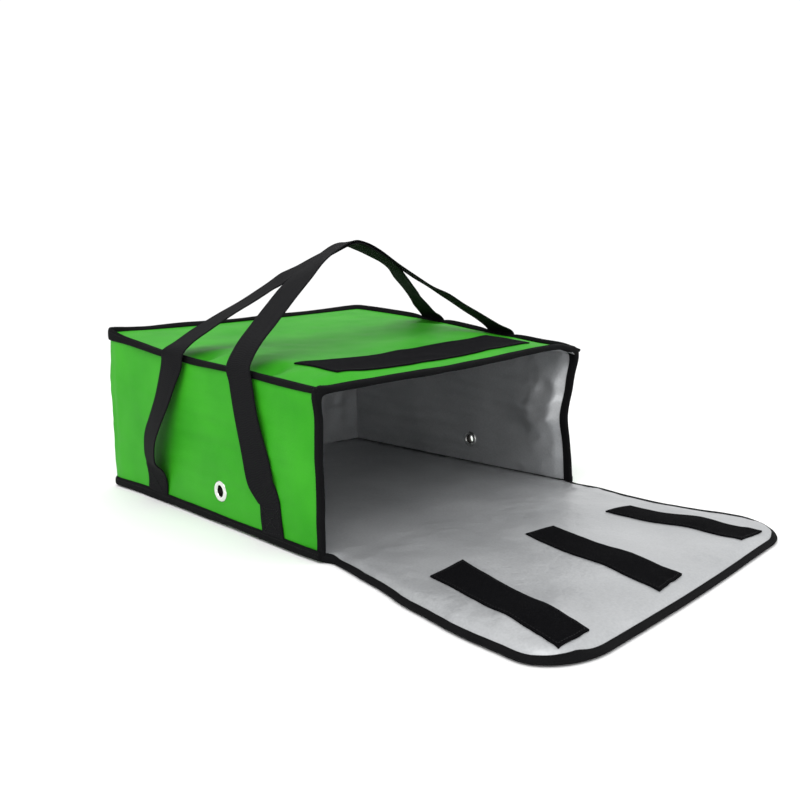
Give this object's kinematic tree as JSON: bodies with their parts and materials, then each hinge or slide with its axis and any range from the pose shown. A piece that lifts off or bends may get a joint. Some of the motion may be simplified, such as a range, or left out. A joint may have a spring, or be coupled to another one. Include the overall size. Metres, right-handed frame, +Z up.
{
  "type": "insulated delivery bag",
  "caption": "Square insulated delivery bag for flat boxes, open at the front, with a fold-up flap, touch-fastener strips, webbing handles and vent eyelets.",
  "frame": {"origin": "on the floor, under the middle of the case (the flap and handles are not counted)", "axes": "+Z up, -Y out of the mouth and along the open flap, +X to the right as seen from the front"},
  "size_m": [0.5011, 0.7806, 0.3428],
  "materials": {
    "cover_fabric": "woven polyester, coated on the back",
    "foam": "closed-cell foam sheet, matt",
    "foil_lining": "silver laminated film, satin",
    "binding_tape": "ribbed woven tape, matt",
    "webbing": "heavy woven webbing, matt",
    "hook_tape": "hook side of touch fastener, matt",
    "loop_tape": "loop side of touch fastener, napped",
    "nickel": "bright nickel plate"
  },
  "bodies": {
    "bag": {"cover_floor": "cover_fabric", "cover_roof": "cover_fabric", "cover_rear": "cover_fabric", "cover_left": "cover_fabric", "cover_right": "cover_fabric", "foam_floor": "foam", "foam_roof": "foam", "foam_rear": "foam", "foam_left": "foam", "foam_right": "foam", "lining_floor": "foil_lining", "lining_roof": "foil_lining", "lining_rear": "foil_lining", "lining_left": "foil_lining", "lining_right": "foil_lining", "seam_roof_left": "binding_tape", "seam_roof_right": "binding_tape", "seam_roof_rear": "binding_tape", "seam_floor_left": "binding_tape", "seam_floor_right": "binding_tape", "seam_floor_rear": "binding_tape", "tape_mouth_top": "binding_tape", "tape_mouth_left": "binding_tape", "tape_mouth_right": "binding_tape", "loop_strip": "loop_tape", "handle_front_left": "webbing", "handle_front_right": "webbing", "handle_rear_left": "webbing", "handle_rear_right": "webbing", "vent_eyelet_left": "nickel", "vent_eyelet_right": "nickel", "vent_washer_left": "nickel", "vent_washer_right": "nickel"},
    "flap_front": {"cover_flap_front": "cover_fabric", "foam_flap_front": "foam", "lining_flap_front": "foil_lining", "tape_flap_left": "binding_tape", "tape_flap_right": "binding_tape", "hook_left_inner": "hook_tape", "hook_middle_inner": "hook_tape", "hook_right_inner": "hook_tape"},
    "flap_end": {"cover_flap_end": "cover_fabric", "foam_flap_end": "foam", "lining_flap_end": "foil_lining", "tape_flap_end": "binding_tape", "hook_left_outer": "hook_tape", "hook_middle_outer": "hook_tape", "hook_right_outer": "hook_tape"},
    "handle_front": {"handle_front_arch": "webbing"},
    "handle_rear": {"handle_rear_arch": "webbing"}
  },
  "joints": [
    {"name": "flap_hinge", "type": "hinge", "parent": "bag", "child": "flap_front", "pos_m": [0, -0.23475, 0.00485], "axis": [-1, 0, 0], "range_deg": [0, 90]},
    {"name": "flap_fold", "type": "hinge", "parent": "flap_front", "child": "flap_end", "pos_m": [0, -0.42691, 0.00485], "axis": [-1, 0, 0], "range_deg": [0, 84.9]},
    {"name": "handle_front_swing", "type": "hinge", "parent": "bag", "child": "handle_front", "pos_m": [0, -0.0845, 0.20557], "axis": [1, 0, 0], "range_deg": [0, 75]},
    {"name": "handle_rear_swing", "type": "hinge", "parent": "bag", "child": "handle_rear", "pos_m": [0, 0.0665, 0.21885], "axis": [-1, 0, 0], "range_deg": [0, 95]}
  ]
}
